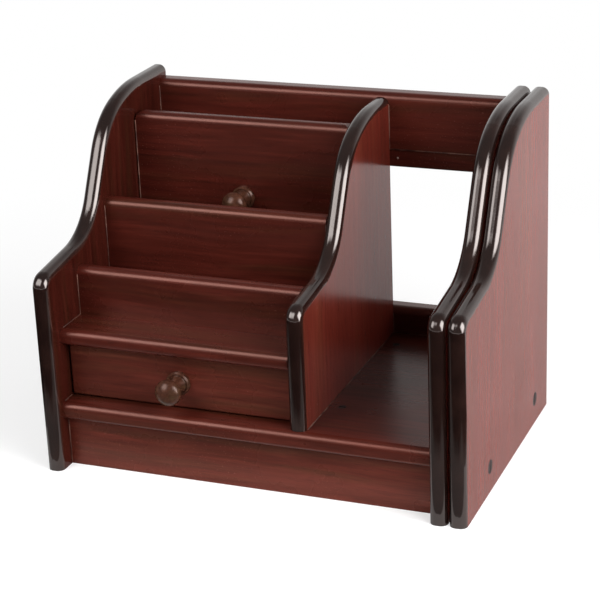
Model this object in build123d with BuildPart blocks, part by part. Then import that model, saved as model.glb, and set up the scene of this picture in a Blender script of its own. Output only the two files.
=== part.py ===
from build123d import *
import os
from math import radians, sin, tan

# A wooden desk stand: pen compartments over a drawer on the left, a book
# compartment on the right, closed by a book end that slides out sideways.
# Millimetres. X runs along the width, Y from front to back, Z up.
# The origin is on the floor, at the middle of the closed stand.

os.makedirs("parts", exist_ok=True)

# ---- Boards and overall sizes
board = 12.0  # thickness of the main boards
depth = 206.0  # front to back
height = 239.3  # floor to the crest of the sides
nose = 5.0  # radius of the rounded front and top edges
under_nose = 3.0  # radius under the front edge of the base board
ease = 1.5  # radius of the lightly eased edges
drawer_bay = 167.0  # clear width of the drawer and the pen compartments
book_bay = 88.0  # clear width of the book compartment
book_end_gap = 1.2  # between the fixed right side and the closed book end

# ---- S-shaped outline of the sides
front_height = 133.9  # straight front edge, floor to the start of the knee
knee_radius = 11.0
shoulder_slope = 7.3  # degrees, of the gently rising shoulder
hollow_radius = 46.0
rise_slope = 62.5  # degrees, of the steep part
crown_radius = 60.0
crest_slope = 20.0  # degrees, where the crown opens into the crest
crest_radius = 106.0
crest_run = 38.5  # level stretch of the crest, back to the rear edge

# ---- Divider between the compartments and the book bay
divider_setback = 11.0  # behind the front edges of the sides
divider_drop = 11.0  # below the crest of the sides
divider_front_height = 76.2  # straight front edge, from the base board up
divider_crest_run = 20.5  # level stretch of its crest

# ---- Base, aprons and back
apron_height = 37.0  # floor to the underside of the base board
apron_setback = 15.5
base_setback = 8.0
lip_height = 20.3  # low board along the back of the base
rail_height = 40.9
rail_drop = 8.1  # below the crest of the sides
strip_height = 13.5  # narrow strip under the rail, in the book bay
strip_board = 9.0  # its thickness
strip_recess = 1.5  # behind the rail's front face
strip_overlap = 6.0  # how far it runs on behind the divider
back_sheet = 3.0  # thickness of the sheet behind the pen compartments
back_overlap = 8.0  # of that sheet over the rail

# ---- Pen compartments
drawer_bay_height = 40.2  # base board to the shelf
shelf_setback = 14.0
front_partition_place = 44.9  # front face, behind the front edges of the sides
front_partition_height = 34.6
middle_partition_place = 93.2
middle_partition_height = 69.2
lift_partition_place = 148.4
lift_partition_height = 117.3
lift_side_gap = 1.0  # at each end of the lift-out partition
lift_foot_gap = 0.3  # between its foot and the shelf
lift_corner = 6.0  # radius of its upper corners
pin_radius = 3.0  # locating pins under the partition
pin_length = 18.0
pin_reach = 9.0  # below the partition's foot
pin_clearance = 0.2  # around a pin in its socket
pin_lead = 0.8  # chamfer on the tip of a pin
pin_inset = 30.0  # from each end of the partition
socket_depth = 10.5
lift_knob_height = 59.4  # shelf to the knob's centre

# ---- Drawer
drawer_setback = 23.0  # face of the drawer front
drawer_front_board = 11.0
drawer_side_board = 8.0
drawer_gap = 1.0  # around the drawer front and beside the drawer
drawer_run_gap = 0.3  # under the sides
drawer_stop_gap = 0.5  # between the closed drawer and the lip at the back
drawer_head_gap = 3.4  # over the sides
drawer_sheet = 3.0  # thickness of the drawer bottom
sheet_fit = 0.1  # clearance over and under a sheet in its groove
groove_depth = 4.0
groove_rise = 5.0  # lower edge of a drawer side to its groove
rebate = 5.5  # depth of the corner rebates in the drawer front
housing = 3.0  # depth of the drawer back's seat in each drawer side
drawer_knob_drop = 0.8  # knob's centre below the middle of the drawer front

# ---- Turned knobs
knob_radius = 9.3  # round head
knob_projection = 24.4  # face of the board to the tip of the knob
dome_turn = 47.0  # degrees of the flatter front of the head
head_edge_radius = 4.6
head_edge_turn = 125.0  # degrees, from the dome round to the stem
flange_radius = 8.6
flange_thickness = 3.2
flange_edge = 1.0  # bevel on the rim of the flange
flange_groove = 0.5  # depth of the vee cut round the stem
stem_radius = 6.0
stem_waist = 1.0  # how far the stem draws in

# ---- Sliding book end
bar_width = 16.0  # along the depth
bar_height = 20.0
bar_drop = 18.4  # underside of the base board to the middle of a bar
front_bar_inset = 57.0  # from the front
rear_bar_inset = 34.0  # from the back
bar_fit = 0.5  # clearance all round a bar in its guide
bar_tail = 16.0  # length of bar beyond the stops, under the cross bar
bar_ease = 1.0  # chamfer along the bars
book_end_travel = 128.0
stop_gap = 2.0  # between the cross bar and the guides, fully open
cross_bar_board = 6.0
cross_bar_overhang = 8.0
guide_length = 85.0
guide_wall = 7.5
guide_height = 33.2  # how far a guide hangs below the base board
guide_ease = 2.0  # chamfer on the lower corners of a guide

# ---- Dowels and screws
dowel_radius = 3.0
dowel_length = 24.0
dowel_bite = 8.0  # depth in the face of a board
dowel_fit = 0.05  # around a dowel
dowel_play = 0.5  # past each end of a dowel
board_dowel_inset = 20.0  # from the edge of a flat board
rail_dowel_inset = 10.0  # from the edge of the rail
screw_fit = 0.05  # around a screw
knob_screw_radius = 1.75
knob_screw_head = 3.6
knob_screw_bite = 11.0  # into the knob
guide_screw_radius = 1.5
guide_screw_head = 2.9
guide_screw_bite = 6.0  # into the guide
guide_screw_inset = 6.3  # from the ends of a guide
end_screw_radius = 2.5
end_screw_head = 5.0
end_screw_bite = 33.0  # into the bar
cross_screw_radius = 1.5
cross_screw_head = 2.9
cross_screw_bite = 10.0  # into the bar
countersink_angle = 90.0  # of every screw head
slot_width = 1.0  # of a screw's driving slot
slot_depth = 0.8

# ---- Places that follow from the sizes above
width = drawer_bay + book_bay + 4 * board + book_end_gap
left = -width / 2
front = -depth / 2
rear = depth / 2
bay_left = left + board
divider_left = bay_left + drawer_bay
book_left = divider_left + board
side_left = book_left + book_bay
side_right = side_left + board
book_end_left = side_right + book_end_gap
bay_middle = (bay_left + divider_left) / 2

base_top = apron_height + board
shelf_bottom = base_top + drawer_bay_height
shelf_top = shelf_bottom + board
rail_front = rear - board
rail_top = height - rail_drop
rail_bottom = rail_top - rail_height
back_front = rail_front - back_sheet
base_front = front + base_setback
shelf_front = front + shelf_setback

near = 0.01  # tells a face or an edge from its neighbours


def save(piece, name):
    """Label a finished piece and write it."""
    piece.part.label = name
    export_step(piece.part, f"parts/{name}.step")


def block(low, high, mode=Mode.ADD):
    """A rectangular block between two opposite corners."""
    sizes = [far - close for close, far in zip(low, high)]
    middle = tuple((close + far) / 2 for close, far in zip(low, high))
    with Locations(middle):
        Box(*sizes, mode=mode)


def side_outline(front_edge, foot, straight, crest_level, crest, rear_edge):
    """The S-shaped outline of an upright board, depth across and height up.

    From the front it climbs a straight edge and turns over the knee; from the
    back it runs level and rolls down over the crest and the crown. The shoulder
    and the steep rise meet between them, and the hollow rounds their corner.
    """
    with BuildSketch() as outline:
        with BuildLine():
            edge = Line((front_edge, foot), (front_edge, foot + straight))
            knee = JernArc(edge @ 1, edge % 1, knee_radius, shoulder_slope - 90)
            level = Line((rear_edge, crest), (rear_edge - crest_level, crest))
            roll = JernArc(level @ 1, level % 1, crest_radius, crest_slope)
            crown = JernArc(roll @ 1, roll % 1, crown_radius, rise_slope - crest_slope)
            shoulder = PolarLine(knee @ 1, rear_edge - front_edge, shoulder_slope, mode=Mode.PRIVATE)
            rise = IntersectingLine(crown @ 1, crown % 1, shoulder, mode=Mode.PRIVATE)
            FilletPolyline(knee @ 1, rise @ 1, crown @ 1, radius=hollow_radius)
            Polyline(level @ 0, (rear_edge, foot), edge @ 0)
        make_face()
    return outline.sketch


def shown_edges(piece, foot, rear_edge):
    """Edges of both faces of an upright board, but for its foot and its rear."""
    edges = piece.faces().filter_by(Axis.X).edges()
    above = edges.filter_by(lambda edge: edge.center().Z > foot + near)
    return above.filter_by(lambda edge: edge.center().Y < rear_edge - near)


def front_edges(piece):
    """Upper and lower front edges of a flat board."""
    return piece.edges().filter_by(Axis.X).group_by(Axis.Y)[0]


def top_edges(piece):
    """Front and rear top edges of an upright cross board."""
    return piece.edges().filter_by(Axis.X).group_by(Axis.Z)[-1]


def spread(low, high, inset, count):
    """Evenly spaced places between two ends, the outer ones at the inset."""
    step = (high - low - 2 * inset) / (count - 1)
    return [low + inset + step * index for index in range(count)]


def across(x, rows):
    """Middles of the dowels that join a board's end to the upright at x."""
    return [(x, y, z) for y, z in rows]


def dowels(middles, turn, spare=0.0, fit=0.0, mode=Mode.ADD):
    """Dowels, or with the spare length and fit their holes."""
    with Locations(*middles):
        Cylinder(dowel_radius + fit, dowel_length + 2 * spare, rotation=turn, mode=mode)


def dowel_holes(middles, turn):
    """Cut the holes of some dowels in the board being made."""
    dowels(middles, turn, dowel_play, dowel_fit, Mode.SUBTRACT)


def wood_screw(radius, head_radius, length):
    """A countersunk screw, head up, with the face of its head at the origin."""
    head_depth = (head_radius - radius) / tan(radians(countersink_angle / 2))
    point = 2 * radius
    with BuildPart() as screw:
        with BuildSketch(Plane.XZ):
            with BuildLine():
                Polyline(
                    (0, 0),
                    (head_radius, 0),
                    (radius, -head_depth),
                    (radius, point - length),
                    (0, -length),
                    (0, 0),
                )
            make_face()
        revolve(axis=Axis.Z)
        Box(2 * head_radius, slot_width, 2 * slot_depth, mode=Mode.SUBTRACT)
    return screw.part


def screws(planes, screw):
    """Set one screw on each plane."""
    with Locations(*planes):
        add(screw)


def countersinks(planes, radius, head_radius, length):
    """Holes for countersunk screws, one on each plane."""
    with Locations(*planes):
        CounterSinkHole(radius + screw_fit, head_radius + screw_fit, length, countersink_angle)


def pilot_holes(planes, radius, length):
    """Straight holes round the shanks of screws set on the planes."""
    with Locations(*planes):
        Cylinder(
            radius + screw_fit,
            length + screw_fit,
            align=(Align.CENTER, Align.CENTER, Align.MAX),
            mode=Mode.SUBTRACT,
        )


# ---- Where the dowels go
lengthwise = (0, 90, 0)
upright = (0, 0, 0)
in_end = dowel_length / 2 - dowel_bite
base_rows = [(y, base_top - board / 2) for y in spread(base_front, rear, board_dowel_inset, 3)]
shelf_rows = [
    (y, shelf_top - board / 2)
    for y in spread(shelf_front, rail_front, board_dowel_inset, 2)
]
rail_rows = [(rear - board / 2, z) for z in spread(rail_bottom, rail_top, rail_dowel_inset, 2)]
end_dowels = (
    across(bay_left + in_end, base_rows + shelf_rows + rail_rows)
    + across(divider_left - in_end, shelf_rows)
    + across(side_left - in_end, base_rows + rail_rows)
)
divider_front = front + divider_setback
divider_dowels = [
    (divider_left + board / 2, y, base_top + in_end)
    for y in spread(divider_front, rail_front, board_dowel_inset, 2)
]

# ---- Where the bars and their guides go
bar_level = apron_height - bar_drop
guide_foot = apron_height - guide_height
bar_rows = [front + front_bar_inset, rear - rear_bar_inset]
guide_left = side_left - guide_length
cross_bar_right = guide_left - stop_gap - book_end_travel
bar_left = cross_bar_right - bar_tail
guide_half = bar_width / 2 + bar_fit + guide_wall


def bar_block(row, start, stop, spare=0.0, mode=Mode.ADD):
    """A bar between two places along the width, or with the spare its slot."""
    block(
        (start, row - bar_width / 2 - spare, bar_level - bar_height / 2 - spare),
        (stop, row + bar_width / 2 + spare, bar_level + bar_height / 2 + spare),
        mode,
    )


# ---- Sides
side = side_outline(front, 0, front_height, crest_run, height, rear)

with BuildPart() as left_side_panel:
    with BuildSketch(Plane.YZ.offset(left)):
        add(side)
    extrude(amount=board)
    fillet(shown_edges(left_side_panel, 0, rear), nose)
    dowel_holes(end_dowels, lengthwise)
save(left_side_panel, "left_side_panel")

with BuildPart() as right_side_panel:
    with BuildSketch(Plane.YZ.offset(side_left)):
        add(side)
    extrude(amount=board)
    fillet(shown_edges(right_side_panel, 0, rear), nose)
    dowel_holes(end_dowels, lengthwise)
    for row in bar_rows:
        bar_block(row, side_left, side_right, bar_fit, Mode.SUBTRACT)
save(right_side_panel, "right_side_panel")

# ---- Divider, standing on the base board in front of the rail and the lip
with BuildPart() as divider_panel:
    with BuildSketch(Plane.YZ.offset(divider_left)):
        add(
            side_outline(
                divider_front,
                base_top,
                divider_front_height,
                divider_crest_run,
                height - divider_drop,
                rail_front,
            )
        )
    extrude(amount=board)
    fillet(shown_edges(divider_panel, base_top, rail_front), nose)
    dowel_holes(end_dowels, lengthwise)
    dowel_holes(divider_dowels, upright)
save(divider_panel, "divider_panel")

# ---- Base board and its aprons
guide_screw_places = [
    Plane(origin=(x, row, base_top))
    for row in bar_rows
    for x in (guide_left + guide_screw_inset, side_left - guide_screw_inset)
]
guide_screw_length = board + guide_screw_bite

with BuildPart() as base_board:
    block((bay_left, base_front, apron_height), (side_left, rear, base_top))
    fillet(front_edges(base_board).sort_by(Axis.Z)[-1], nose)
    fillet(front_edges(base_board).sort_by(Axis.Z)[0], under_nose)
    dowel_holes(end_dowels, lengthwise)
    dowel_holes(divider_dowels, upright)
    countersinks(guide_screw_places, guide_screw_radius, guide_screw_head, guide_screw_length)
save(base_board, "base_board")

with BuildPart() as front_apron:
    block((bay_left, front + apron_setback, 0), (side_left, front + apron_setback + board, apron_height))
save(front_apron, "front_apron")

with BuildPart() as rear_apron:
    block((bay_left, rear - board, 0), (side_left, rear, apron_height))
save(rear_apron, "rear_apron")

# ---- Back
with BuildPart() as rear_lip:
    block((bay_left, rail_front, base_top), (side_left, rear, base_top + lip_height))
    fillet(top_edges(rear_lip).sort_by(Axis.Y)[0], nose)
save(rear_lip, "rear_lip")

with BuildPart() as back_rail:
    block((bay_left, rail_front, rail_bottom), (side_left, rear, rail_top))
    fillet(top_edges(back_rail).sort_by(Axis.Y)[0], nose)
    dowel_holes(end_dowels, lengthwise)
save(back_rail, "back_rail")

with BuildPart() as back_rail_strip:
    block(
        (book_left - strip_overlap, rail_front + strip_recess, rail_bottom - strip_height),
        (side_left, rail_front + strip_recess + strip_board, rail_bottom),
    )
    fillet(front_edges(back_rail_strip).sort_by(Axis.Z)[0], ease)
save(back_rail_strip, "back_rail_strip")

with BuildPart() as back_panel:
    block((bay_left, back_front, shelf_top), (divider_left, rail_front, rail_bottom + back_overlap))
save(back_panel, "back_panel")

# ---- Shelf over the drawer, with the sockets of the lift-out partition
lift_front = front + lift_partition_place
lift_middle = lift_front + board / 2
lift_left = bay_left + lift_side_gap
lift_right = divider_left - lift_side_gap
lift_foot = shelf_top + lift_foot_gap
lift_top = lift_foot + lift_partition_height
pin_places = [(x, lift_middle, lift_foot) for x in spread(lift_left, lift_right, pin_inset, 2)]

with BuildPart() as drawer_shelf:
    block((bay_left, shelf_front, shelf_bottom), (divider_left, rail_front, shelf_top))
    fillet(front_edges(drawer_shelf), nose)
    dowel_holes(end_dowels, lengthwise)
    with Locations(*[Plane(origin=(x, y, shelf_top)) for x, y, z in pin_places]):
        Hole(pin_radius + pin_clearance, socket_depth)
save(drawer_shelf, "drawer_shelf")

# ---- Fixed partitions
with BuildPart() as front_partition:
    block(
        (bay_left, front + front_partition_place, shelf_top),
        (divider_left, front + front_partition_place + board, shelf_top + front_partition_height),
    )
    fillet(top_edges(front_partition), nose)
save(front_partition, "front_partition")

with BuildPart() as middle_partition:
    block(
        (bay_left, front + middle_partition_place, shelf_top),
        (divider_left, front + middle_partition_place + board, shelf_top + middle_partition_height),
    )
    fillet(top_edges(middle_partition), nose)
save(middle_partition, "middle_partition")


# ---- Knobs
def knob_outline():
    """Half of a knob's section, radius across and projection up, bored for its screw."""
    turn = sin(radians(dome_turn))
    dome_radius = (knob_radius - head_edge_radius * (1 - turn)) / turn
    bore = knob_screw_radius + screw_fit
    bore_end = knob_screw_bite + screw_fit
    with BuildSketch() as outline:
        with BuildLine():
            flange = Polyline(
                (bore, 0),
                (flange_radius, 0),
                (flange_radius, flange_thickness - flange_edge),
                (flange_radius - flange_edge, flange_thickness),
                (stem_radius + 2 * flange_groove, flange_thickness),
                (stem_radius + flange_groove, flange_thickness - flange_groove),
                (stem_radius, flange_thickness),
            )
            dome = JernArc((0, knob_projection), (1, 0), dome_radius, -dome_turn)
            head = JernArc(dome @ 1, dome % 1, head_edge_radius, -head_edge_turn)
            waist = (flange @ 1 + head @ 1) / 2 - Vector(stem_waist, 0)
            ThreePointArc(flange @ 1, waist, head @ 1)
            Polyline(dome @ 0, (0, bore_end), (bore, bore_end), (bore, 0))
        make_face()
    return outline.sketch


def turned_knob(face, level):
    """A turned knob on a front face: ringed flange, waisted stem, rounded head."""
    with BuildPart() as knob:
        with BuildSketch(Plane(origin=(bay_middle, face, level), x_dir=(1, 0, 0), z_dir=(0, 0, -1))):
            add(knob_outline())
        revolve(axis=Axis((bay_middle, face, level), (0, -1, 0)))
    return knob.part


def knob_screw_place(back_face, level):
    """Where the head of a knob's screw sits, on the back of its board."""
    return [Plane(origin=(bay_middle, back_face, level), z_dir=(0, 1, 0))]


# ---- Lift-out partition, its locating pins and its knob
lift_knob_level = shelf_top + lift_knob_height
lift_screw_place = knob_screw_place(lift_front + board, lift_knob_level)
lift_screw_length = board + knob_screw_bite

with BuildPart() as lift_out_partition:
    block((lift_left, lift_front, lift_foot), (lift_right, lift_front + board, lift_top))
    fillet(top_edges(lift_out_partition), nose)
    with BuildSketch(Plane.XZ.offset(-lift_front)) as lift_face:
        with Locations((bay_middle, (lift_foot + lift_top) / 2)):
            Rectangle(lift_right - lift_left, lift_top - lift_foot)
        fillet(lift_face.vertices().group_by(Axis.Z)[-1], lift_corner)
    extrude(amount=-board, mode=Mode.INTERSECT)
    with Locations(*pin_places):
        Cylinder(pin_radius + dowel_fit, 2 * (pin_length - pin_reach + dowel_play), mode=Mode.SUBTRACT)
    countersinks(lift_screw_place, knob_screw_radius, knob_screw_head, lift_screw_length)
save(lift_out_partition, "lift_out_partition")

with BuildPart() as partition_pins:
    with Locations(*[(x, y, z - pin_reach) for x, y, z in pin_places]):
        Cylinder(pin_radius, pin_length, align=(Align.CENTER, Align.CENTER, Align.MIN))
    chamfer(partition_pins.edges().group_by(Axis.Z)[0], pin_lead)
save(partition_pins, "partition_pins")

with BuildPart() as partition_knob:
    add(turned_knob(lift_front, lift_knob_level))
save(partition_knob, "partition_knob")

with BuildPart() as partition_knob_screw:
    screws(lift_screw_place, wood_screw(knob_screw_radius, knob_screw_head, lift_screw_length))
save(partition_knob_screw, "partition_knob_screw")

# ---- Drawer
drawer_face = front + drawer_setback
drawer_front_back = drawer_face + drawer_front_board
drawer_low = base_top + drawer_gap
drawer_high = shelf_bottom - drawer_gap
drawer_left = bay_left + drawer_gap
drawer_right = divider_left - drawer_gap
drawer_rear = rail_front - drawer_stop_gap
box_left = drawer_left + drawer_side_board
box_right = drawer_right - drawer_side_board
box_foot = base_top + drawer_run_gap
box_top = shelf_bottom - drawer_head_gap
box_back = drawer_rear - drawer_side_board
side_start = drawer_front_back - rebate
sheet_foot = box_foot + groove_rise
sheet_top = sheet_foot + drawer_sheet
drawer_knob_level = (drawer_low + drawer_high) / 2 - drawer_knob_drop
drawer_screw_place = knob_screw_place(drawer_front_back, drawer_knob_level)
drawer_screw_length = drawer_front_board + knob_screw_bite


def sheet_groove():
    """Cut the groove that holds the edges of the drawer bottom."""
    block(
        (box_left - groove_depth, drawer_front_back - groove_depth, sheet_foot - sheet_fit),
        (box_right + groove_depth, drawer_rear, sheet_top + sheet_fit),
        Mode.SUBTRACT,
    )


with BuildPart() as drawer_front:
    block((drawer_left, drawer_face, drawer_low), (drawer_right, drawer_front_back, drawer_high))
    fillet(drawer_front.faces().sort_by(Axis.Y)[0].edges(), ease)
    for start, stop in ((drawer_left, box_left), (box_right, drawer_right)):
        block((start, side_start, drawer_low), (stop, drawer_front_back, drawer_high), Mode.SUBTRACT)
    sheet_groove()
    countersinks(drawer_screw_place, knob_screw_radius, knob_screw_head, drawer_screw_length)
save(drawer_front, "drawer_front")

for name, start, stop, seat in (
    ("drawer_left_side", drawer_left, box_left, box_left - housing),
    ("drawer_right_side", box_right, drawer_right, box_right),
):
    with BuildPart() as drawer_side:
        block((start, side_start, box_foot), (stop, drawer_rear, box_top))
        fillet(drawer_side.edges().filter_by(Axis.Y).group_by(Axis.Z)[-1], ease)
        block((seat, box_back, box_foot), (seat + housing, drawer_rear, box_top), Mode.SUBTRACT)
        sheet_groove()
    save(drawer_side, name)

with BuildPart() as drawer_back:
    block(
        (box_left - housing, box_back, sheet_top + sheet_fit),
        (box_right + housing, drawer_rear, box_top - ease),
    )
save(drawer_back, "drawer_back")

with BuildPart() as drawer_bottom:
    block(
        (box_left - groove_depth + sheet_fit, drawer_front_back - groove_depth + sheet_fit, sheet_foot),
        (box_right + groove_depth - sheet_fit, drawer_rear, sheet_top),
    )
save(drawer_bottom, "drawer_bottom")

with BuildPart() as drawer_knob:
    add(turned_knob(drawer_face, drawer_knob_level))
save(drawer_knob, "drawer_knob")

with BuildPart() as drawer_knob_screw:
    screws(drawer_screw_place, wood_screw(knob_screw_radius, knob_screw_head, drawer_screw_length))
save(drawer_knob_screw, "drawer_knob_screw")

# ---- Sliding book end: panel, two bars, and the cross bar that stops them
bar_top = bar_level + bar_height / 2
end_screw_places = [
    Plane(origin=(book_end_left + board, row, bar_level), z_dir=(1, 0, 0)) for row in bar_rows
]
end_screw_length = board + end_screw_bite
cross_screw_places = [
    Plane(origin=((bar_left + cross_bar_right) / 2, row, bar_top + cross_bar_board))
    for row in bar_rows
]
cross_screw_length = cross_bar_board + cross_screw_bite

with BuildPart() as book_end_panel:
    with BuildSketch(Plane.YZ.offset(book_end_left)):
        add(side)
    extrude(amount=board)
    fillet(shown_edges(book_end_panel, 0, rear), nose)
    countersinks(end_screw_places, end_screw_radius, end_screw_head, end_screw_length)
save(book_end_panel, "book_end_panel")

for name, row in zip(("front_slide_bar", "rear_slide_bar"), bar_rows):
    with BuildPart() as slide_bar:
        bar_block(row, bar_left, book_end_left)
        chamfer(slide_bar.edges().filter_by(Axis.X), bar_ease)
        pilot_holes(end_screw_places, end_screw_radius, end_screw_length)
        pilot_holes(cross_screw_places, cross_screw_radius, cross_screw_length)
    save(slide_bar, name)

with BuildPart() as slide_cross_bar:
    block(
        (bar_left, bar_rows[0] - cross_bar_overhang, bar_top),
        (cross_bar_right, bar_rows[1] + cross_bar_overhang, bar_top + cross_bar_board),
    )
    fillet(slide_cross_bar.edges().filter_by(Axis.Z), ease)
    countersinks(cross_screw_places, cross_screw_radius, cross_screw_head, cross_screw_length)
save(slide_cross_bar, "slide_cross_bar")

with BuildPart() as book_end_screws:
    screws(end_screw_places, wood_screw(end_screw_radius, end_screw_head, end_screw_length))
save(book_end_screws, "book_end_screws")

with BuildPart() as cross_bar_screws:
    screws(cross_screw_places, wood_screw(cross_screw_radius, cross_screw_head, cross_screw_length))
save(cross_bar_screws, "cross_bar_screws")

# ---- Guides under the base board that carry the bars
for name, row in zip(("front_slide_guide", "rear_slide_guide"), bar_rows):
    with BuildPart() as slide_guide:
        block((guide_left, row - guide_half, guide_foot), (side_left, row + guide_half, apron_height))
        chamfer(slide_guide.edges().filter_by(Axis.X).group_by(Axis.Z)[0], guide_ease)
        bar_block(row, guide_left, side_left, bar_fit, Mode.SUBTRACT)
        pilot_holes(guide_screw_places, guide_screw_radius, guide_screw_length)
    save(slide_guide, name)

with BuildPart() as guide_screws:
    screws(guide_screw_places, wood_screw(guide_screw_radius, guide_screw_head, guide_screw_length))
save(guide_screws, "guide_screws")

# ---- Dowels
with BuildPart() as joint_dowels:
    dowels(end_dowels, lengthwise)
    dowels(divider_dowels, upright)
save(joint_dowels, "joint_dowels")
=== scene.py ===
# %% [markdown]
# # A desk stand with pen compartments and a drawer
# The real stand is a handful of 12 mm boards wrapped in a dark red-brown wood
# film. The upright boards have an S-shaped front, rounded over and sprayed
# nearly black. The boards come in as a finished model, each in its place. This
# script gives them their finish, adds the small metal pieces and the glue lines,
# and lights them. Everything is in metres, Z is up, and the front looks along -Y.

# %% Load the boards
from math import cos, pi, radians, sin

import bmesh
import bpy
from mathutils import Matrix, Quaternion, Vector


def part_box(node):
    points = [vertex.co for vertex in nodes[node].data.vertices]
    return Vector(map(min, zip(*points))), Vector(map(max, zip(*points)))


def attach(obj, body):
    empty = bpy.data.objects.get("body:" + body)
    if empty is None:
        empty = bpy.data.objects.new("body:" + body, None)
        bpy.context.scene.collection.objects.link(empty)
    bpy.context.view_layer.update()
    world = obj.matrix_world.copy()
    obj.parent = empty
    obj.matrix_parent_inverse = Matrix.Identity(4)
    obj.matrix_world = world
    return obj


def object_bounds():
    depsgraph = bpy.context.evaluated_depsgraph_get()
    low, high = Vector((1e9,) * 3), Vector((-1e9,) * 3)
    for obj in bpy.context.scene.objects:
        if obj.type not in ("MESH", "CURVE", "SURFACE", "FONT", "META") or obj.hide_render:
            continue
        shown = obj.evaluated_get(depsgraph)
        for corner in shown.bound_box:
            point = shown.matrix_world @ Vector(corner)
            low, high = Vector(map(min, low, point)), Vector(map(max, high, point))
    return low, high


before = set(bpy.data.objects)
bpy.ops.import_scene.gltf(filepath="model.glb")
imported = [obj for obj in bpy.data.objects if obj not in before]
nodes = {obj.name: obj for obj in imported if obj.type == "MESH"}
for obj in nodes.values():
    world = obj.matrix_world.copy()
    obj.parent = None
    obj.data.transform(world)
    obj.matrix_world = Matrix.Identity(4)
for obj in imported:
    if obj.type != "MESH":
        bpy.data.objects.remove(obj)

cad_box = [list(corner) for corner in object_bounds()]
print("boards and fittings:", len(nodes))

# %% [markdown]
# ## Camera
# The picture was taken with a long lens from a little over a metre away, above
# and to the right of the stand. The camera's turn is built from three plain
# rotations: round the upright axis, down from level, and the slight tilt of the
# picture itself. The small shift puts the stand where the picture has it.

# %% Camera
lens = 115.73  # mm, on a 36 mm sensor
camera_place = (0.4736, -1.1622, 0.5879)
camera_azimuth = radians(22.3)  # to the right of the front
camera_dip = radians(21.3)  # below level
camera_tilt = radians(-2.45)
picture_shift = (0.0105, 0.0135)  # in picture widths

camera_data = bpy.data.cameras.new("camera")
camera_data.lens = lens
camera_data.shift_x, camera_data.shift_y = picture_shift
camera = bpy.data.objects.new("camera", camera_data)
aim = (
    Matrix.Rotation(camera_azimuth, 4, "Z")
    @ Matrix.Rotation(pi / 2 - camera_dip, 4, "X")
    @ Matrix.Rotation(camera_tilt, 4, "Z")
)
camera.matrix_world = Matrix.Translation(camera_place) @ aim
scene = bpy.context.scene
scene.collection.objects.link(camera)
scene.camera = camera
scene.view_settings.view_transform = "Standard"
print("camera at", camera_place)

# %% [markdown]
# ## Helpers for node trees
# Materials are small networks of nodes. A few short functions keep the network
# readable: one joins sockets, one makes a Math node from sockets or numbers, one
# spreads a value over a new range, and one blends colours.


# %% Node helpers
def link(tree, start, end):
    """Join two sockets of a node tree."""
    tree.links.new(start, end)


def feed(tree, socket, value):
    """Give an input a constant or join it to another socket."""
    if isinstance(value, bpy.types.NodeSocket):
        link(tree, value, socket)
    else:
        socket.default_value = value


def math_node(tree, operation, *values):
    """A Math node fed by sockets or plain numbers."""
    node = tree.nodes.new("ShaderNodeMath")
    node.operation = operation
    for socket, value in zip(node.inputs, values):
        feed(tree, socket, value)
    return node.outputs[0]


def map_range(tree, value, low, high, to_low=0.0, to_high=1.0):
    """Spread one range of values over another, clamped at its ends."""
    node = tree.nodes.new("ShaderNodeMapRange")
    limits = {"From Min": low, "From Max": high, "To Min": to_low, "To Max": to_high}
    for label, number in limits.items():
        feed(tree, node.inputs[label], number)
    link(tree, value, node.inputs["Value"])
    return node.outputs["Result"]


def mix_colour(tree, factor, first, second, blend="MIX"):
    """Blend two colours; each is a socket or a plain colour."""
    node = tree.nodes.new("ShaderNodeMix")
    node.data_type = "RGBA"
    node.blend_type = blend
    sockets = (node.inputs[0], node.inputs[6], node.inputs[7])  # the factor and the two colours
    for socket, value in zip(sockets, (factor, first, second)):
        feed(tree, socket, value)
    return node.outputs[2]


def make_material(name):
    """A new material, its node tree and its Principled shader."""
    material = bpy.data.materials.new(name)
    material.use_nodes = True
    tree = material.node_tree
    return material, tree, tree.nodes["Principled BSDF"]


def seen_directly(tree):
    """A socket that is 1 for camera, glossy and transmission rays, else 0."""
    path = tree.nodes.new("ShaderNodeLightPath")
    shown = math_node(tree, "MAXIMUM", path.outputs["Is Camera Ray"], path.outputs["Is Glossy Ray"])
    return math_node(tree, "MAXIMUM", shown, path.outputs["Is Transmission Ray"])


# %% [markdown]
# ## Floor
# The stand is on a plain pale sheet, and the camera looks down on it, so a wide
# flat disc is all the background there is. Near the stand the sheet is a normal
# surface that takes a soft shadow, with a faint glow that the camera and the
# reflections see. Further out it turns into plain white, as in a light tent.

# %% Floor
floor_radius = 9.0
shadow_reach = 0.22  # from the middle of the stand, where plain white starts to take over
white_reach = 0.65
sheet_white = 0.60
picture_glow = 0.50  # what the camera sees on top of the sheet's own light
mirror_glow = 0.10  # what the gloss sees

disc = bmesh.new()
bmesh.ops.create_circle(disc, cap_ends=True, segments=96, radius=floor_radius)
floor_mesh = bpy.data.meshes.new("floor")
disc.to_mesh(floor_mesh)
disc.free()
floor = bpy.data.objects.new("floor", floor_mesh)
scene.collection.objects.link(floor)

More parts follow.
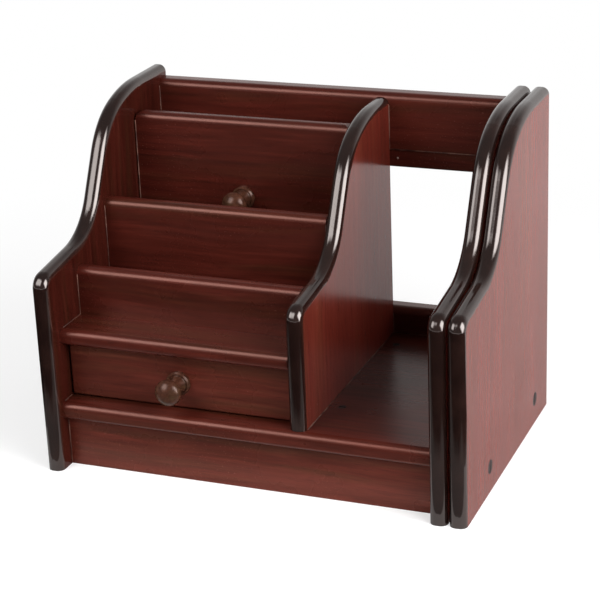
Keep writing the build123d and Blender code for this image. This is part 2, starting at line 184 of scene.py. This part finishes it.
floor_material, tree, shader = make_material("pale sheet")
shader.inputs["Base Color"].default_value = (sheet_white, sheet_white, sheet_white, 1)
shader.inputs["Roughness"].default_value = 0.9  # matt paper
shader.inputs["Specular IOR Level"].default_value = 0.1
shader.inputs["Emission Color"].default_value = (1, 1, 1, 1)
seen = seen_directly(tree)
path = tree.nodes.new("ShaderNodeLightPath")
glow = map_range(tree, path.outputs["Is Camera Ray"], 0.0, 1.0, mirror_glow, picture_glow)
link(tree, math_node(tree, "MULTIPLY", seen, glow), shader.inputs["Emission Strength"])
place = tree.nodes.new("ShaderNodeTexCoord")
distance = tree.nodes.new("ShaderNodeVectorMath")
distance.operation = "LENGTH"
link(tree, place.outputs["Object"], distance.inputs[0])
far = map_range(tree, distance.outputs["Value"], shadow_reach, white_reach)
white = tree.nodes.new("ShaderNodeEmission")
blend = tree.nodes.new("ShaderNodeMixShader")
link(tree, math_node(tree, "MULTIPLY", far, seen), blend.inputs["Fac"])
link(tree, shader.outputs["BSDF"], blend.inputs[1])
link(tree, white.outputs["Emission"], blend.inputs[2])
link(tree, blend.outputs["Shader"], tree.nodes["Material Output"].inputs["Surface"])
floor_mesh.materials.append(floor_material)
print("floor radius", floor_radius)

# %% [markdown]
# ## Surroundings
# The room is dim, so that the dark gloss stays deep, with one bright wall behind
# the stand. The tops of the round edges look up and back, and take their grey
# sheen from that wall, which gets dimmer upwards. The world's own coordinates
# are directions: Y points to the back, Z up.

# %% Surroundings
room_light = 0.16
wall_light = 0.80
world = bpy.data.worlds.new("studio")
world.use_nodes = True
scene.world = world
tree = world.node_tree
background = tree.nodes["Background"]
direction = tree.nodes.new("ShaderNodeTexCoord")
parts = tree.nodes.new("ShaderNodeSeparateXYZ")
link(tree, direction.outputs["Generated"], parts.inputs[0])
backward = map_range(tree, parts.outputs["Y"], 0.10, 0.75)
lowness = map_range(tree, parts.outputs["Z"], 0.30, 0.90, 1.0, 0.0)
wall = math_node(tree, "MULTIPLY", math_node(tree, "MULTIPLY", backward, lowness), wall_light)
path = tree.nodes.new("ShaderNodeLightPath")
level = tree.nodes.new("ShaderNodeMix")
link(tree, path.outputs["Is Camera Ray"], level.inputs["Factor"])
link(tree, math_node(tree, "ADD", wall, room_light), level.inputs["A"])
level.inputs["B"].default_value = 1.0
link(tree, level.outputs["Result"], background.inputs["Strength"])
background.inputs["Color"].default_value = (1, 1, 1, 1)
print("room", room_light, "and wall", wall_light)

# %% [markdown]
# ## Softboxes
# A polished round edge shows each lamp as a long streak, so the lamps are placed
# by the streaks they should make. A tall one to the right, leaning over, gives
# the bright streak, and a dimmer one in front to the left the second. The camera
# looks in between them, where the edge stays dark. Both are brightest in the
# middle and fade towards their rims, which gives the streaks soft ends. A fill
# lamp behind lifts the back and the left side and makes no streak of its own.
# A lamp's power follows from how bright its panel should look: brightness times
# its area times pi.


# %% Softboxes
aim_point = Vector((0, 0, 0.1))


def softbox(name, azimuth, elevation, distance, size, brightness, lean=0.0, rim=0.25):
    """A rectangular lamp that faces the middle of the stand and fades towards its rim.

    Azimuth 0 is the front and 90 degrees the right. Lean turns the lamp in its
    own plane, and rim is the share of its width that fades at each side.
    """
    lamp = bpy.data.lights.new(name, "AREA")
    lamp.shape = "RECTANGLE"
    lamp.size, lamp.size_y = size
    lamp.energy = brightness * lamp.size * lamp.size_y * pi
    lamp.use_nodes = True
    tree = lamp.node_tree
    surface = tree.nodes.new("ShaderNodeNewGeometry")
    across = tree.nodes.new("ShaderNodeSeparateXYZ")
    link(tree, surface.outputs["Parametric"], across.inputs[0])
    strength = 1.0
    for axis in ("X", "Y"):
        from_middle = math_node(tree, "ABSOLUTE", math_node(tree, "SUBTRACT", across.outputs[axis], 0.5))
        fade = map_range(tree, from_middle, 0.5 - rim, 0.5, 1.0, 0.0)
        strength = math_node(tree, "MULTIPLY", fade, strength)
    link(tree, strength, tree.nodes["Emission"].inputs["Strength"])
    towards = Vector((sin(azimuth) * cos(elevation), -cos(azimuth) * cos(elevation), sin(elevation)))
    rig = bpy.data.objects.new(name, lamp)
    rig.location = aim_point + distance * towards
    rig.rotation_euler = (towards.to_track_quat("Z", "Y") @ Quaternion((0, 0, 1), lean)).to_euler()
    rig.visible_camera = False
    scene.collection.objects.link(rig)
    return rig


softbox(
    "right softbox",
    azimuth=radians(68),
    elevation=radians(24),
    distance=1.2,
    size=(0.98, 1.44),
    brightness=9.5,
    lean=radians(29),
)
softbox(
    "front left softbox",
    azimuth=radians(-34),
    elevation=radians(35),
    distance=1.2,
    size=(0.88, 0.92),
    brightness=5.2,
)
fill = softbox(
    "fill lamp",
    azimuth=radians(215),
    elevation=radians(48),
    distance=2.0,
    size=(2.0, 2.0),
    brightness=0.8,
)
fill.visible_glossy = False

# %% [markdown]
# ## Dark cards
# Glossy boards that face the camera would mirror the pale floor in front of
# them and look washed out. A photographer lays dark cards just outside the
# picture, and the wood keeps its depth. Only reflections see these cards: they
# neither show in the picture nor shade the floor. They are grey near the stand,
# so that the feet still pick up a little of the floor, and black further out.


# %% Dark cards
card_height = 0.0005
grey_until = 0.09  # from the stand
black_from = 0.13
near_grey = (0.17, 0.17, 0.17, 1)
far_black = (0.01, 0.01, 0.01, 1)
cards_reach = 1.4  # to the left and to the right
front_reach = -1.6
front_start = -0.118  # just before the front feet
side_stop = 0.05
right_start = 0.24  # leaves out the floor that the book end mirrors
left_start = -0.22
card_material, tree, shader = make_material("dark card")
place = tree.nodes.new("ShaderNodeTexCoord")
parts = tree.nodes.new("ShaderNodeSeparateXYZ")
link(tree, place.outputs["Object"], parts.inputs[0])
beside = math_node(tree, "SUBTRACT", math_node(tree, "ABSOLUTE", parts.outputs["X"]), cad_box[1][0])
before = math_node(tree, "SUBTRACT", math_node(tree, "ABSOLUTE", parts.outputs["Y"]), cad_box[1][1])
away = math_node(tree, "MAXIMUM", beside, before)
dark = mix_colour(tree, map_range(tree, away, grey_until, black_from), near_grey, far_black)
link(tree, dark, shader.inputs["Base Color"])
shader.inputs["Roughness"].default_value = 1.0
shader.inputs["Specular IOR Level"].default_value = 0.0


def dark_card(name, low_x, high_x, low_y, high_y):
    """A flat card on the floor that only reflections see."""
    sheet = bmesh.new()
    middle = Matrix.Translation(((low_x + high_x) / 2, (low_y + high_y) / 2, card_height))
    size = Matrix.Diagonal((high_x - low_x, high_y - low_y, 1, 1))
    bmesh.ops.create_grid(sheet, x_segments=1, y_segments=1, size=0.5, matrix=middle @ size)
    mesh = bpy.data.meshes.new(name)
    sheet.to_mesh(mesh)
    sheet.free()
    mesh.materials.append(card_material)
    card = bpy.data.objects.new(name, mesh)
    card.visible_camera = False
    card.visible_diffuse = False
    card.visible_shadow = False
    card.visible_transmission = False
    scene.collection.objects.link(card)
    print("made", name)


dark_card("front card", -cards_reach, cards_reach, front_reach, front_start)
dark_card("right card", right_start, cards_reach, front_start, side_stop)
dark_card("left card", -cards_reach, left_start, front_start, side_stop)

# %% [markdown]
# ## Wood grain
# The film's printed pattern has several scales at once: broad bands, streaks a
# few millimetres wide, fine fibres, and short dark pores. Each is a noise
# stretched along the grain, and its tone also wanders between a redder and a
# greener brown. One node group holds it all, so that every board, whichever way
# its grain runs, can use the same pattern with its own turn and colours.


# %% Wood grain group
def new_group(name, inputs, outputs):
    """An empty shader node group with named sockets, its input and its output node."""
    group = bpy.data.node_groups.new(name, "ShaderNodeTree")
    for label, kind in inputs:
        group.interface.new_socket(label, in_out="INPUT", socket_type=kind)
    for label, kind in outputs:
        group.interface.new_socket(label, in_out="OUTPUT", socket_type=kind)
    return group, group.nodes.new("NodeGroupInput"), group.nodes.new("NodeGroupOutput")


def stretched_noise(tree, vector, along, across, detail):
    """Noise drawn out along the first axis, in features per metre."""
    mapping = tree.nodes.new("ShaderNodeMapping")
    mapping.inputs["Scale"].default_value = (along, across, across)
    link(tree, vector, mapping.inputs["Vector"])
    noise = tree.nodes.new("ShaderNodeTexNoise")
    noise.inputs["Scale"].default_value = 1.0
    noise.inputs["Detail"].default_value = detail
    noise.inputs["Roughness"].default_value = 0.55
    link(tree, mapping.outputs["Vector"], noise.inputs["Vector"])
    return noise.outputs["Fac"]


grain, ins, outs = new_group(
    "wood grain",
    (
        ("Vector", "NodeSocketVector"),
        ("Deep", "NodeSocketColor"),
        ("Middle", "NodeSocketColor"),
        ("Bright", "NodeSocketColor"),
        ("Pore", "NodeSocketColor"),
    ),
    (
        ("Color", "NodeSocketColor"),
        ("Height", "NodeSocketFloat"),
    ),
)
wander = grain.nodes.new("ShaderNodeTexNoise")
wander.inputs["Scale"].default_value = 9.0
wander.inputs["Detail"].default_value = 1.0
link(grain, ins.outputs["Vector"], wander.inputs["Vector"])
sway = grain.nodes.new("ShaderNodeVectorMath")
sway.operation = "MULTIPLY_ADD"
sway.inputs[1].default_value = (0.0, 0.010, 0.010)
link(grain, wander.outputs["Color"], sway.inputs[0])
link(grain, ins.outputs["Vector"], sway.inputs[2])
swayed = sway.outputs[0]
bands = stretched_noise(grain, swayed, 3.0, 40.0, 2.0)
streaks = stretched_noise(grain, swayed, 13.0, 300.0, 3.0)
fibres = stretched_noise(grain, swayed, 30.0, 1100.0, 2.0)
pores = stretched_noise(grain, swayed, 90.0, 1900.0, 1.0)
tone = math_node(grain, "MULTIPLY_ADD", bands, 0.40, math_node(grain, "MULTIPLY", streaks, 0.60))
tone = map_range(grain, tone, 0.34, 0.66)
fine = math_node(grain, "SUBTRACT", fibres, 0.5)
tone = math_node(grain, "MULTIPLY_ADD", fine, 0.6, tone)
shade = mix_colour(grain, map_range(grain, tone, 0.0, 0.5), ins.outputs["Deep"], ins.outputs["Middle"])
shade = mix_colour(grain, map_range(grain, tone, 0.5, 1.0), shade, ins.outputs["Bright"])
hue = stretched_noise(grain, swayed, 5.0, 90.0, 2.0)
greener = mix_colour(grain, 1.0, shade, (0.80, 1.50, 1.15, 1), "MULTIPLY")
shade = mix_colour(grain, map_range(grain, hue, 0.50, 0.68, 0.0, 0.55), shade, greener)
pore_mask = map_range(grain, pores, 0.60, 0.72)
shade = mix_colour(grain, math_node(grain, "MULTIPLY", pore_mask, 0.45), shade, ins.outputs["Pore"])
link(grain, shade, outs.inputs["Color"])
link(grain, math_node(grain, "MULTIPLY_ADD", fibres, 0.5, pore_mask), outs.inputs["Height"])
print("grain nodes:", len(grain.nodes))

# %% [markdown]
# ## Lacquer
# Over the film lies a clear lacquer. It is never quite even: a slow ripple from
# spraying, duller patches where hands have been, and fine specks of dust that
# settled before it dried. One group gives the roughness and the ripple, for the
# boards, the dark edges and the knobs alike.

# %% Lacquer group
lacquer, ins, outs = new_group(
    "lacquer",
    (
        ("Vector", "NodeSocketVector"),
        ("Gloss", "NodeSocketFloat"),
        ("Relief", "NodeSocketFloat"),
    ),
    (
        ("Roughness", "NodeSocketFloat"),
        ("Normal", "NodeSocketVector"),
    ),
)
ripple = stretched_noise(lacquer, ins.outputs["Vector"], 55.0, 55.0, 2.0)
patches = stretched_noise(lacquer, ins.outputs["Vector"], 16.0, 16.0, 4.0)
specks = stretched_noise(lacquer, ins.outputs["Vector"], 900.0, 900.0, 1.0)
rough = math_node(lacquer, "ADD", ins.outputs["Gloss"], map_range(lacquer, patches, 0.48, 0.72, 0.0, 0.07))
rough = math_node(lacquer, "ADD", rough, map_range(lacquer, specks, 0.70, 0.80, 0.0, 0.15))
link(lacquer, rough, outs.inputs["Roughness"])
ripple_bump = lacquer.nodes.new("ShaderNodeBump")
ripple_bump.inputs["Strength"].default_value = 0.2
ripple_bump.inputs["Distance"].default_value = 0.0004
link(lacquer, ripple, ripple_bump.inputs["Height"])
grain_bump = lacquer.nodes.new("ShaderNodeBump")
grain_bump.invert = True
grain_bump.inputs["Strength"].default_value = 0.3
grain_bump.inputs["Distance"].default_value = 0.00004
link(lacquer, ins.outputs["Relief"], grain_bump.inputs["Height"])
link(lacquer, ripple_bump.outputs["Normal"], grain_bump.inputs["Normal"])
link(lacquer, grain_bump.outputs["Normal"], outs.inputs["Normal"])
print("lacquer nodes:", len(lacquer.nodes))

# %% [markdown]
# ## Film on the flat boards
# A Mapping node turns the object's own coordinates so that the first axis runs
# along the grain: across the stand on the cross boards, upright on the sides.
# The red of the film also tints what it reflects face on, as a thick lacquer
# over a deep stain does, while a grazing look shows the plain white of gloss.
# The boards inside look a shade deeper than the base board, and the apron and the drawer front a shade
# lighter. So the film's colours come in three strengths: a darker copy on the cross boards, which is
# painted shade, and a lighter, greyer copy on the apron and the drawer front, which is painted light
# standing in for the pale floor that they mirror. The top of the base board mirrors less, as if books had
# dulled it, so its IOR is lower where it faces up.

# %% Film materials
side_ior = 1.34
board_ior = 1.65
rubbed_ior = 1.30  # the top of the base board, dulled by books
film_sheen = (1.0, 0.52, 0.43, 1)
film_colours = {
    "Deep": (0.044, 0.0078, 0.0050, 1),
    "Middle": (0.068, 0.0115, 0.0072, 1),
    "Bright": (0.100, 0.0175, 0.0112, 1),
    "Pore": (0.024, 0.0050, 0.0034, 1),
}
film_gloss = 0.27  # the roughness that the lacquer starts from
along_width = (0, 0, 0)
along_height = (0, radians(90), 0)
along_depth = (0, 0, radians(90))


def lit_or_shaded_copy(colours, red, rest):
    """A lighter or darker copy of the same colours, for painted light or painted shade: their red, and
    their green and blue, made stronger or weaker.
    """
    return {label: (r * red, g * rest, b * rest, 1) for label, (r, g, b, _) in colours.items()}


def grain_nodes(tree, turn, colours):
    """Object coordinates turned along the grain, and the grain group on them."""
    coordinates = tree.nodes.new("ShaderNodeTexCoord")
    mapping = tree.nodes.new("ShaderNodeMapping")
    mapping.inputs["Rotation"].default_value = turn
    link(tree, coordinates.outputs["Object"], mapping.inputs["Vector"])
    wood = tree.nodes.new("ShaderNodeGroup")
    wood.node_tree = grain
    link(tree, mapping.outputs["Vector"], wood.inputs["Vector"])
    for label, colour in colours.items():
        wood.inputs[label].default_value = colour
    return coordinates, wood


def lacquer_nodes(tree, coordinates, wood, gloss):
    """The lacquer group over some wood."""
    coat = tree.nodes.new("ShaderNodeGroup")
    coat.node_tree = lacquer
    link(tree, coordinates.outputs["Object"], coat.inputs["Vector"])
    feed(tree, coat.inputs["Gloss"], gloss)
    link(tree, wood.outputs["Height"], coat.inputs["Relief"])
    return coat


def wood_material(name, turn, colours, gloss, ior=1.45, sheen=(1, 1, 1, 1)):
    """Wood or wood film with its grain turned one way."""
    material, tree, shader = make_material(name)
    coordinates, wood = grain_nodes(tree, turn, colours)
    coat = lacquer_nodes(tree, coordinates, wood, gloss)
    link(tree, wood.outputs["Color"], shader.inputs["Base Color"])
    link(tree, coat.outputs["Roughness"], shader.inputs["Roughness"])
    link(tree, coat.outputs["Normal"], shader.inputs["Normal"])
    shader.inputs["IOR"].default_value = ior
    shader.inputs["Specular Tint"].default_value = sheen
    return material


def flat_film(name, colours):
    """Film on a flat board, its grain across the stand."""
    return wood_material(name, along_width, colours, film_gloss, board_ior, film_sheen)


# A darker copy of the film's colours for the cross boards: painted shade.
shade_painted_cross_film = flat_film("film, grain across, painted shade", lit_or_shaded_copy(film_colours, 0.88, 0.82))
# A lighter, greyer copy for the apron and the drawer front: painted light, standing in for the pale floor
# that they mirror.
light_painted_front_film = flat_film("film, apron and drawer, painted light", lit_or_shaded_copy(film_colours, 1.35, 1.45))
base_film = flat_film("film, base board", film_colours)
tree = base_film.node_tree
coordinates = next(node for node in tree.nodes if node.type == "TEX_COORD")
upward = tree.nodes.new("ShaderNodeSeparateXYZ")
link(tree, coordinates.outputs["Normal"], upward.inputs[0])
base_ior = map_range(tree, upward.outputs["Z"], 0.90, 0.99, board_ior, rubbed_ior)
link(tree, base_ior, tree.nodes["Principled BSDF"].inputs["IOR"])
print("flat films:", shade_painted_cross_film.name, "/", light_painted_front_film.name, "/", base_film.name)

# %% [markdown]
# ## The S-shaped boards
# Their two faces are film, and all of the rounded edge between is sprayed with
# a glossy brown that is almost black. The spray follows the shape, so the mask
# follows it too: wherever the surface turns away from the flat face, the paint
# begins, with a border that wavers a little and thins out to brown.
#
# Seen at a grazing angle, the faces of the right-hand boards have a soft reddish haze. An even sheen on the
# film stands for it. It is the same all over a board, so it holds from every side, and its strength was
# matched. The left board is darker, a painted shade, and has none.

# %% Film with painted edges
paint_deep = (0.0100, 0.0042, 0.0034, 1)
paint_cloud = (0.0165, 0.0072, 0.0056, 1)
paint_thin = (0.0340, 0.0110, 0.0080, 1)
paint_ior = 1.8
paint_sheen = (1.0, 0.90, 0.86, 1)
paint_gloss = 0.06
face_gloss = 0.17
thin_from = 0.90  # how squarely the surface faces sideways: here the paint thins,
film_from = 0.978  # here the film shows first,
film_full = 0.986  # and here it is bare
haze_colour = (1.0, 0.14, 0.09, 1)
side_haze = 0.26


def edged_material(name, colours, haze):
    """Film on the flat faces, dark gloss paint on the rounded edges."""
    material, tree, shader = make_material(name)
    coordinates, wood = grain_nodes(tree, along_height, colours)
    facing = tree.nodes.new("ShaderNodeSeparateXYZ")
    link(tree, coordinates.outputs["Normal"], facing.inputs[0])
    flat = math_node(tree, "ABSOLUTE", facing.outputs["X"])
    waver = stretched_noise(tree, coordinates.outputs["Object"], 160.0, 160.0, 2.0)
    flat = math_node(tree, "MULTIPLY_ADD", waver, -0.02, flat)
    film = map_range(tree, flat, film_from, film_full)
    cloud = stretched_noise(tree, coordinates.outputs["Object"], 60.0, 60.0, 3.0)
    paint = mix_colour(tree, map_range(tree, cloud, 0.4, 0.7), paint_deep, paint_cloud)
    paint = mix_colour(tree, map_range(tree, flat, thin_from, film_from), paint, paint_thin)
    link(tree, mix_colour(tree, film, paint, wood.outputs["Color"]), shader.inputs["Base Color"])
    gloss = map_range(tree, film, 0.0, 1.0, paint_gloss, face_gloss)
    coat = lacquer_nodes(tree, coordinates, wood, gloss)
    link(tree, coat.outputs["Roughness"], shader.inputs["Roughness"])
    link(tree, coat.outputs["Normal"], shader.inputs["Normal"])
    link(tree, map_range(tree, film, 0.0, 1.0, paint_ior, side_ior), shader.inputs["IOR"])
    link(tree, mix_colour(tree, film, paint_sheen, film_sheen), shader.inputs["Specular Tint"])
    if haze:
        link(tree, math_node(tree, "MULTIPLY", film, haze), shader.inputs["Sheen Weight"])
        shader.inputs["Sheen Tint"].default_value = haze_colour
    return material


side_film = edged_material("film with dark edges", film_colours, side_haze)
# A darker copy of the film's colours and no sheen for the left board: painted shade, as less light reaches
# its inner face.
shade_painted_left_film = edged_material("film with dark edges, painted shade", lit_or_shaded_copy(film_colours, 0.55, 0.55), 0.0)
print("edged films:", side_film.name, "/", shade_painted_left_film.name)

# %% [markdown]
# ## Plain wood inside
# Inside, the drawer box and the slide are solid wood with a thin brown stain,
# duller than the film. The drawer bottom and the back are stained sheet, and
# dowels and pins are bare beech. The knobs are turned from solid wood, so their
# grain runs along the turning axis, and the gloss lies over it.

# %% Plain wood, sheet, dowels and knobs
plain_colours = {
    "Deep": (0.060, 0.021, 0.012, 1),
    "Middle": (0.110, 0.040, 0.023, 1),
    "Bright": (0.160, 0.064, 0.037, 1),
    "Pore": (0.040, 0.014, 0.008, 1),
}
sheet_colours = {
    "Deep": (0.055, 0.018, 0.011, 1),
    "Middle": (0.085, 0.028, 0.017, 1),
    "Bright": (0.110, 0.040, 0.024, 1),
    "Pore": (0.045, 0.014, 0.009, 1),
}
beech_colours = {
    "Deep": (0.36, 0.20, 0.10, 1),
    "Middle": (0.46, 0.28, 0.15, 1),
    "Bright": (0.55, 0.36, 0.21, 1),
    "Pore": (0.28, 0.15, 0.08, 1),
}
knob_colours = {
    "Deep": (0.034, 0.0120, 0.0072, 1),
    "Middle": (0.062, 0.0225, 0.0130, 1),
    "Bright": (0.100, 0.0380, 0.0220, 1),
    "Pore": (0.020, 0.0072, 0.0046, 1),
}
plain_gloss = 0.45
sheet_gloss = 0.5
beech_gloss = 0.55
knob_gloss = 0.2
knob_ior = 1.42
knob_sheen = (1.0, 0.75, 0.68, 1)
plain_across = wood_material("stained wood, across", along_width, plain_colours, plain_gloss)
plain_deep = wood_material("stained wood, front to back", along_depth, plain_colours, plain_gloss)
sheet_wood = wood_material("stained sheet", along_width, sheet_colours, sheet_gloss)
beech_across = wood_material("beech, across", along_width, beech_colours, beech_gloss)
beech_upright = wood_material("beech, upright", along_height, beech_colours, beech_gloss)
knob_wood = wood_material("turned wood", along_depth, knob_colours, knob_gloss, knob_ior, knob_sheen)
print("woods: 6")

# %% [markdown]
# ## Metal and glue
# Plated steel is bright where it is rubbed and duller between. The screws that show are blackened, with
# bare steel glinting through in places. The glue that squeezed out of the joints has dried to a thin brown
# bead.


# %% Metal and glue
def metal_material(name, colour, worn, roughness, metallic):
    """Plated or blackened steel, rubbed brighter in places."""
    material, tree, shader = make_material(name)
    coordinates = tree.nodes.new("ShaderNodeTexCoord")
    rub = stretched_noise(tree, coordinates.outputs["Object"], 700.0, 700.0, 3.0)
    scratch = stretched_noise(tree, coordinates.outputs["Object"], 300.0, 4000.0, 1.0)
    shade = mix_colour(tree, map_range(tree, rub, 0.45, 0.65), colour, worn)
    link(tree, shade, shader.inputs["Base Color"])
    dull = map_range(tree, scratch, 0.3, 0.7, roughness, roughness + 0.15)
    link(tree, dull, shader.inputs["Roughness"])
    shader.inputs["Metallic"].default_value = metallic
    return material


zinc = metal_material(
    "zinc plate",
    colour=(0.50, 0.47, 0.42, 1),
    worn=(0.62, 0.60, 0.56, 1),
    roughness=0.28,
    metallic=1.0,
)
black_steel = metal_material(
    "blackened steel",
    colour=(0.012, 0.008, 0.008, 1),
    worn=(0.07, 0.035, 0.03, 1),
    roughness=0.42,
    metallic=0.5,
)

glue_dark = (0.040, 0.014, 0.010, 1)
glue_pale = (0.150, 0.070, 0.050, 1)
glue, tree, shader = make_material("dried glue")
coordinates = tree.nodes.new("ShaderNodeTexCoord")
lumps = stretched_noise(tree, coordinates.outputs["Object"], 120.0, 120.0, 3.0)
shade = mix_colour(tree, map_range(tree, lumps, 0.40, 0.62), glue_dark, glue_pale)
link(tree, shade, shader.inputs["Base Color"])
shader.inputs["Roughness"].default_value = 0.6
shader.inputs["Specular IOR Level"].default_value = 0.25
print("metals and glue:", zinc.name, "/", black_steel.name, "/", glue.name)

# %% [markdown]
# ## Give every board its finish
# Each piece of the model has one material slot. The table below names the finish of each, grouped by how
# the real boards are made and by the painted light or shade that some films carry: darker copies on the
# left board and the cross boards, a lighter one on the apron and the drawer front.

# %% Finishes
finishes = {
    shade_painted_left_film: ("left_side_panel",),
    side_film: ("right_side_panel", "divider_panel", "book_end_panel"),
    base_film: ("base_board",),
    light_painted_front_film: ("front_apron", "drawer_front"),
    shade_painted_cross_film: (
        "rear_apron",
        "rear_lip",
        "back_rail",
        "back_rail_strip",
        "drawer_shelf",
        "front_partition",
        "middle_partition",
        "lift_out_partition",
    ),
    sheet_wood: ("back_panel", "drawer_bottom"),
    plain_deep: ("drawer_left_side", "drawer_right_side", "slide_cross_bar"),
    plain_across: (
        "drawer_back",
        "front_slide_bar",
        "rear_slide_bar",
        "front_slide_guide",
        "rear_slide_guide",
    ),
    beech_across: ("joint_dowels",),
    beech_upright: ("partition_pins",),
    knob_wood: ("drawer_knob", "partition_knob"),
    zinc: ("drawer_knob_screw", "partition_knob_screw", "cross_bar_screws"),
    black_steel: ("guide_screws", "book_end_screws"),
}
for material, names in finishes.items():
    for name in names:
        mesh = nodes[name].data
        mesh.materials.clear()
        mesh.materials.append(material)
finished = {name for names in finishes.values() for name in names}
print("finished:", len(finished), "left over:", sorted(set(nodes) - finished))

# %% [markdown]
# ## Glue lines
# Where a board meets an upright, a little glue squeezed out and dried in the
# corner. Each line is a thin rod laid along the corner, so that only a quarter
# of it shows, as a bead. All the rods of the carcass make one piece.


# %% Glue lines
bead = 0.00045  # radius of a glue line
rounding = 0.005  # radius of the rounded edges of the boards


def rod(target, start, stop, radius):
    """Add a thin rod between two points."""
    start, stop = Vector(start), Vector(stop)
    turn = (stop - start).to_track_quat("Z", "Y").to_matrix().to_4x4()
    bmesh.ops.create_cone(
        target,
        cap_ends=True,
        segments=10,
        radius1=radius,
        radius2=radius,
        depth=(stop - start).length,
        matrix=Matrix.Translation((start + stop) / 2) @ turn,
    )


def finish_piece(name, target, material, body):
    """Turn a bmesh into a piece that moves with one body."""
    mesh = bpy.data.meshes.new(name)
    target.to_mesh(mesh)
    target.free()
    mesh.materials.append(material)
    piece = bpy.data.objects.new(name, mesh)
    scene.collection.objects.link(piece)
    for polygon in mesh.polygons:
        polygon.use_smooth = True
    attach(piece, body)
    return piece


bay_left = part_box("left_side_panel")[1].x
divider_low, divider_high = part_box("divider_panel")
side_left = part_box("right_side_panel")[0].x
base_low, base_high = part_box("base_board")
shelf_low, shelf_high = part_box("drawer_shelf")
rail_low, rail_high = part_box("back_rail")
lip_low, lip_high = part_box("rear_lip")
apron_low, apron_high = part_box("front_apron")

drawer_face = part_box("drawer_front")[0].y
partition_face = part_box("front_partition")[0].y
divider_sides = (divider_low.x, divider_high.x)

lines = bmesh.new()
for x in (bay_left, *divider_sides, side_left):
    top = min(rail_high.z, divider_high.z) if x in divider_sides else rail_high.z
    rod(lines, (x, rail_low.y, rail_low.z), (x, rail_low.y, top - rounding), bead)
for name in ("front_partition", "middle_partition"):
    low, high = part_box(name)
    for x in (bay_left, divider_low.x):
        rod(lines, (x, low.y, shelf_high.z), (x, low.y, high.z - rounding), bead)
for x in (bay_left, divider_low.x):
    rod(lines, (x, shelf_low.y + rounding, shelf_high.z), (x, partition_face, shelf_high.z), bead)
for x in (divider_high.x, side_left):
    rod(lines, (x, divider_low.y + rounding, base_high.z), (x, lip_low.y, base_high.z), bead)
    rod(lines, (x, lip_low.y, base_high.z), (x, lip_low.y, lip_high.z - rounding), bead)
rod(lines, (bay_left, base_low.y + rounding, base_high.z), (bay_left, drawer_face, base_high.z), bead)
for x in (bay_left, side_left):
    rod(lines, (x, apron_low.y, apron_low.z + bead), (x, apron_low.y, apron_high.z), bead)
rod(lines, (divider_high.x, rail_low.y, rail_low.z), (side_left, rail_low.y, rail_low.z), bead)
rod(lines, (divider_high.x, lip_low.y, base_high.z), (side_left, lip_low.y, base_high.z), bead)
glue_lines = finish_piece("glue_lines", lines, glue, "carcass")
print("glue line faces:", len(glue_lines.data.polygons))

# %% [markdown]
# ## The edge of the lift-out board
# The tall board at the back of the compartments is loose. At each end its front corner shows a thin pale
# line. A thin rod along the corner rounds it, and has the pale finish of dried glue.

# %% Edge of the lift-out board
lift_low, lift_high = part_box("lift_out_partition")
corner_foot = lift_low.z + bead
corner_top = lift_high.z - 1.2 * rounding  # under the rounded upper corner
corner = bmesh.new()
for x in (lift_low.x, lift_high.x):
    rod(corner, (x, lift_low.y, corner_foot), (x, lift_low.y, corner_top), bead)
pale_edge = finish_piece("pale_partition_edge", corner, glue, "lift_partition")
print("pale edge faces:", len(pale_edge.data.polygons))

# %% [markdown]
# ## Brads
# The narrow strip under the back rail is held by thin brads. Their heads stand
# a hair proud of the film.

# %% Brads
brad_radius = 0.0008
brad_inset = 0.0055  # from the ends of the strip in the book bay
brad_flatness = 0.4
strip_low, strip_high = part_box("back_rail_strip")
pins = bmesh.new()
flatten = Matrix.Diagonal((1, brad_flatness, 1, 1))
for x in (divider_high.x + brad_inset, side_left - brad_inset):
    place = Matrix.Translation((x, strip_low.y, (strip_low.z + strip_high.z) / 2))
    bmesh.ops.create_uvsphere(pins, u_segments=16, v_segments=8, radius=brad_radius, matrix=place @ flatten)
brads = finish_piece("rail_strip_brads", pins, zinc, "carcass")
print("brad faces:", len(brads.data.polygons))
